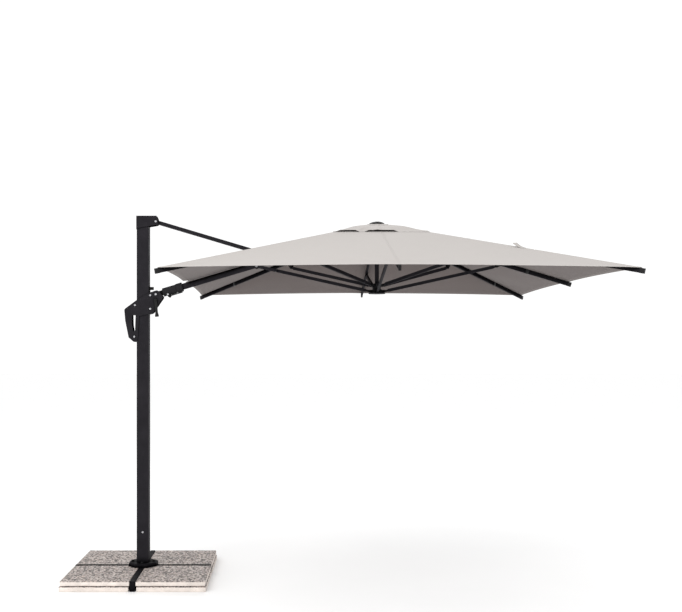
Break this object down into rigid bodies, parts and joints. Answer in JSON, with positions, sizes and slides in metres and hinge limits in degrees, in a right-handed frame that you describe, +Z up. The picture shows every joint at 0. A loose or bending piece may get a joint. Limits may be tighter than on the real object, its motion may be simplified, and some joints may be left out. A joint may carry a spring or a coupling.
{
  "type": "cantilever parasol",
  "caption": "Side-post parasol: slab-weighted cross base, mast with sliding arm, strut, tilting square canopy with vent flap.",
  "frame": {"origin": "on the ground, on the mast's axis, at the centre of the base cross", "axes": "+X from the mast to the canopy, +Y to the canopy's back side, +Z up"},
  "size_m": [3.8381, 3.0202, 2.768],
  "materials": {
    "powder_coat": "charcoal powder coat, fine texture, matt",
    "black_casting": "black coated aluminium casting, satin",
    "black_plastic": "black moulded nylon, fine grain",
    "bolt_steel": "zinc-plated steel, turned",
    "dark_bolt": "black coated steel bolts",
    "buffer_rubber": "black rubber, dull",
    "canopy_cloth": "light ecru plain-woven outdoor cloth, matt",
    "washed_pebble": "exposed-aggregate concrete, beige pebbles, smooth pale sides"
  },
  "bodies": {
    "mast": {"base_cross": "powder_coat", "slabs_lower": "washed_pebble", "slab_front_left": "washed_pebble", "slab_front_right": "washed_pebble", "slab_back_left": "washed_pebble", "slab_back_right": "washed_pebble", "foot_plate": "powder_coat", "foot_bolts": "dark_bolt", "foot_spigot": "powder_coat", "foot_screws": "bolt_steel", "mast_tube": "powder_coat", "head_bracket": "powder_coat", "head_pin": "bolt_steel", "stop_buffer": "buffer_rubber"},
    "strut": {"strut_tube": "powder_coat", "strut_head_eye": "black_casting", "strut_fork": "black_casting"},
    "arm_carrier": {"arm_knuckle": "black_casting", "collar_sleeve": "black_casting", "collar_bolt": "bolt_steel", "swivel_ring": "black_casting", "swivel_pins": "bolt_steel"},
    "arm": {"arm_tube": "powder_coat", "collar_ring": "black_casting", "stop_rings": "black_casting", "arm_end_eye": "black_casting", "arm_bracket_pin": "bolt_steel"},
    "slider": {"slider_plate_front": "powder_coat", "slider_plate_back": "powder_coat", "slider_grip": "black_plastic", "slider_bolts": "bolt_steel", "arm_pin": "bolt_steel"},
    "roller_outer": {"roller_outer": "black_plastic"},
    "roller_inner_upper": {"roller_inner_upper": "black_plastic"},
    "roller_inner_lower": {"roller_inner_lower": "black_plastic"},
    "slider_lock_lever": {"slider_lock_lever": "black_plastic"},
    "tilt_lock_lever": {"tilt_lock_lever": "black_plastic"},
    "hub": {"hub_casting": "black_casting", "hub_pins": "dark_bolt", "centre_post": "powder_coat", "crown_cap": "black_plastic", "canopy_fabric": "canopy_cloth", "vent_flap": "canopy_cloth"},
    "runner": {"runner": "black_casting", "runner_pins": "dark_bolt"},
    "stretcher_arm": {"stretcher_arm": "powder_coat"},
    "rib_right": {"rib_right": "powder_coat"},
    "stretcher_right": {"stretcher_right": "powder_coat"},
    "rib_back_right": {"rib_back_right": "powder_coat"},
    "stretcher_back_right": {"stretcher_back_right": "powder_coat"},
    "rib_back": {"rib_back": "powder_coat"},
    "stretcher_back": {"stretcher_back": "powder_coat"},
    "rib_back_left": {"rib_back_left": "powder_coat"},
    "stretcher_back_left": {"stretcher_back_left": "powder_coat"},
    "rib_front_left": {"rib_front_left": "powder_coat"},
    "stretcher_front_left": {"stretcher_front_left": "powder_coat"},
    "rib_front": {"rib_front": "powder_coat"},
    "stretcher_front": {"stretcher_front": "powder_coat"},
    "rib_front_right": {"rib_front_right": "powder_coat"},
    "stretcher_front_right": {"stretcher_front_right": "powder_coat"}
  },
  "joints": [
    {"name": "canopy_fold", "type": "hinge", "parent": "mast", "child": "strut", "pos_m": [0.101, 0, 2.724], "axis": [0, 1, 0], "range_deg": [0, 66], "deforming": ["canopy_fabric", "vent_flap"]},
    {"name": "strut_to_arm", "type": "hinge", "parent": "strut", "child": "arm_carrier", "pos_m": [1.04024, 0, 2.444], "axis": [0, 1, 0], "range_deg": [-132, 0]},
    {"name": "arm_to_slider", "type": "hinge", "parent": "arm_carrier", "child": "slider", "pos_m": [0.101, 0, 2.164], "axis": [0, 1, 0], "range_deg": [0, 66]},
    {"name": "canopy_tilt", "type": "hinge", "parent": "arm_carrier", "child": "arm", "pos_m": [0.101, 0, 2.164], "axis": [0.9583, 0, 0.2857], "range_deg": [-55, 0]},
    {"name": "arm_to_hub", "type": "hinge", "parent": "arm", "child": "hub", "pos_m": [1.745, 0, 2.576], "axis": [0, 1, 0], "range_deg": [0, 66]},
    {"name": "roller_outer_spin", "type": "hinge", "parent": "slider", "child": "roller_outer", "pos_m": [-0.059, 0, 2.08], "axis": [0, 1, 0], "continuous": true},
    {"name": "roller_inner_upper_spin", "type": "hinge", "parent": "slider", "child": "roller_inner_upper", "pos_m": [0.059, 0, 2.156], "axis": [0, 1, 0], "continuous": true},
    {"name": "roller_inner_lower_spin", "type": "hinge", "parent": "slider", "child": "roller_inner_lower", "pos_m": [0.059, 0, 2.052], "axis": [0, 1, 0], "continuous": true},
    {"name": "slider_lock", "type": "hinge", "parent": "slider", "child": "slider_lock_lever", "pos_m": [0.1, 0, 2.118], "axis": [0, -1, 0], "range_deg": [0, 60]},
    {"name": "tilt_lock", "type": "hinge", "parent": "arm_carrier", "child": "tilt_lock_lever", "pos_m": [0.20404, 0, 2.15089], "axis": [0, 1, 0], "range_deg": [0, 70]},
    {"name": "rib_right_fold", "type": "hinge", "parent": "hub", "child": "rib_right", "pos_m": [1.865, 0, 2.576], "axis": [0, 1, 0], "range_deg": [0, 66]},
    {"name": "stretcher_right_fold", "type": "hinge", "parent": "rib_right", "child": "stretcher_right", "pos_m": [2.735, 0, 2.383], "axis": [0, 1, 0], "range_deg": [-132, 0]},
    {"name": "rib_back_right_fold", "type": "hinge", "parent": "hub", "child": "rib_back_right", "pos_m": [1.84743, 0.04243, 2.621], "axis": [-0.7071, 0.7071, 0], "range_deg": [0, 66]},
    {"name": "stretcher_back_right_fold", "type": "hinge", "parent": "rib_back_right", "child": "stretcher_back_right", "pos_m": [2.46261, 0.65761, 2.428], "axis": [-0.7071, 0.7071, 0], "range_deg": [-132, 0]},
    {"name": "rib_back_fold", "type": "hinge", "parent": "hub", "child": "rib_back", "pos_m": [1.805, 0.06, 2.576], "axis": [-1, 0, 0], "range_deg": [0, 66]},
    {"name": "stretcher_back_fold", "type": "hinge", "parent": "rib_back", "child": "stretcher_back", "pos_m": [1.805, 0.93, 2.383], "axis": [-1, 0, 0], "range_deg": [-132, 0]},
    {"name": "rib_back_left_fold", "type": "hinge", "parent": "hub", "child": "rib_back_left", "pos_m": [1.76257, 0.04243, 2.621], "axis": [-0.7071, -0.7071, 0], "range_deg": [0, 66]},
    {"name": "stretcher_back_left_fold", "type": "hinge", "parent": "rib_back_left", "child": "stretcher_back_left", "pos_m": [1.14739, 0.65761, 2.428], "axis": [-0.7071, -0.7071, 0], "range_deg": [-132, 0]},
    {"name": "rib_front_left_fold", "type": "hinge", "parent": "hub", "child": "rib_front_left", "pos_m": [1.76257, -0.04243, 2.621], "axis": [0.7071, -0.7071, 0], "range_deg": [0, 66]},
    {"name": "stretcher_front_left_fold", "type": "hinge", "parent": "rib_front_left", "child": "stretcher_front_left", "pos_m": [1.14739, -0.65761, 2.428], "axis": [0.7071, -0.7071, 0], "range_deg": [-132, 0]},
    {"name": "rib_front_fold", "type": "hinge", "parent": "hub", "child": "rib_front", "pos_m": [1.805, -0.06, 2.576], "axis": [1, 0, 0], "range_deg": [0, 66]},
    {"name": "stretcher_front_fold", "type": "hinge", "parent": "rib_front", "child": "stretcher_front", "pos_m": [1.805, -0.93, 2.383], "axis": [1, 0, 0], "range_deg": [-132, 0]},
    {"name": "rib_front_right_fold", "type": "hinge", "parent": "hub", "child": "rib_front_right", "pos_m": [1.84743, -0.04243, 2.621], "axis": [0.7071, 0.7071, 0], "range_deg": [0, 66]},
    {"name": "stretcher_front_right_fold", "type": "hinge", "parent": "rib_front_right", "child": "stretcher_front_right", "pos_m": [2.46261, -0.65761, 2.428], "axis": [0.7071, 0.7071, 0], "range_deg": [-132, 0]},
    {"name": "stretcher_arm_fold", "type": "hinge", "parent": "arm", "child": "stretcher_arm", "pos_m": [0.875, 0, 2.383], "axis": [0, 1, 0], "range_deg": [0, 132]},
    {"name": "runner_level", "type": "hinge", "parent": "stretcher_arm", "child": "runner", "pos_m": [1.745, 0, 2.19], "axis": [0, 1, 0], "range_deg": [-66, 0]}
  ],
  "couplings": [
    {"joint": "strut_to_arm", "follows": "canopy_fold", "ratio": -2},
    {"joint": "arm_to_slider", "follows": "canopy_fold", "ratio": 1},
    {"joint": "arm_to_hub", "follows": "canopy_fold", "ratio": 1},
    {"joint": "stretcher_arm_fold", "follows": "canopy_fold", "ratio": 2},
    {"joint": "runner_level", "follows": "canopy_fold", "ratio": -1},
    {"joint": "rib_right_fold", "follows": "canopy_fold", "ratio": 1},
    {"joint": "stretcher_right_fold", "follows": "canopy_fold", "ratio": -2},
    {"joint": "rib_back_right_fold", "follows": "canopy_fold", "ratio": 1},
    {"joint": "stretcher_back_right_fold", "follows": "canopy_fold", "ratio": -2},
    {"joint": "rib_back_fold", "follows": "canopy_fold", "ratio": 1},
    {"joint": "stretcher_back_fold", "follows": "canopy_fold", "ratio": -2},
    {"joint": "rib_back_left_fold", "follows": "canopy_fold", "ratio": 1},
    {"joint": "stretcher_back_left_fold", "follows": "canopy_fold", "ratio": -2},
    {"joint": "rib_front_left_fold", "follows": "canopy_fold", "ratio": 1},
    {"joint": "stretcher_front_left_fold", "follows": "canopy_fold", "ratio": -2},
    {"joint": "rib_front_fold", "follows": "canopy_fold", "ratio": 1},
    {"joint": "stretcher_front_fold", "follows": "canopy_fold", "ratio": -2},
    {"joint": "rib_front_right_fold", "follows": "canopy_fold", "ratio": 1},
    {"joint": "stretcher_front_right_fold", "follows": "canopy_fold", "ratio": -2}
  ]
}
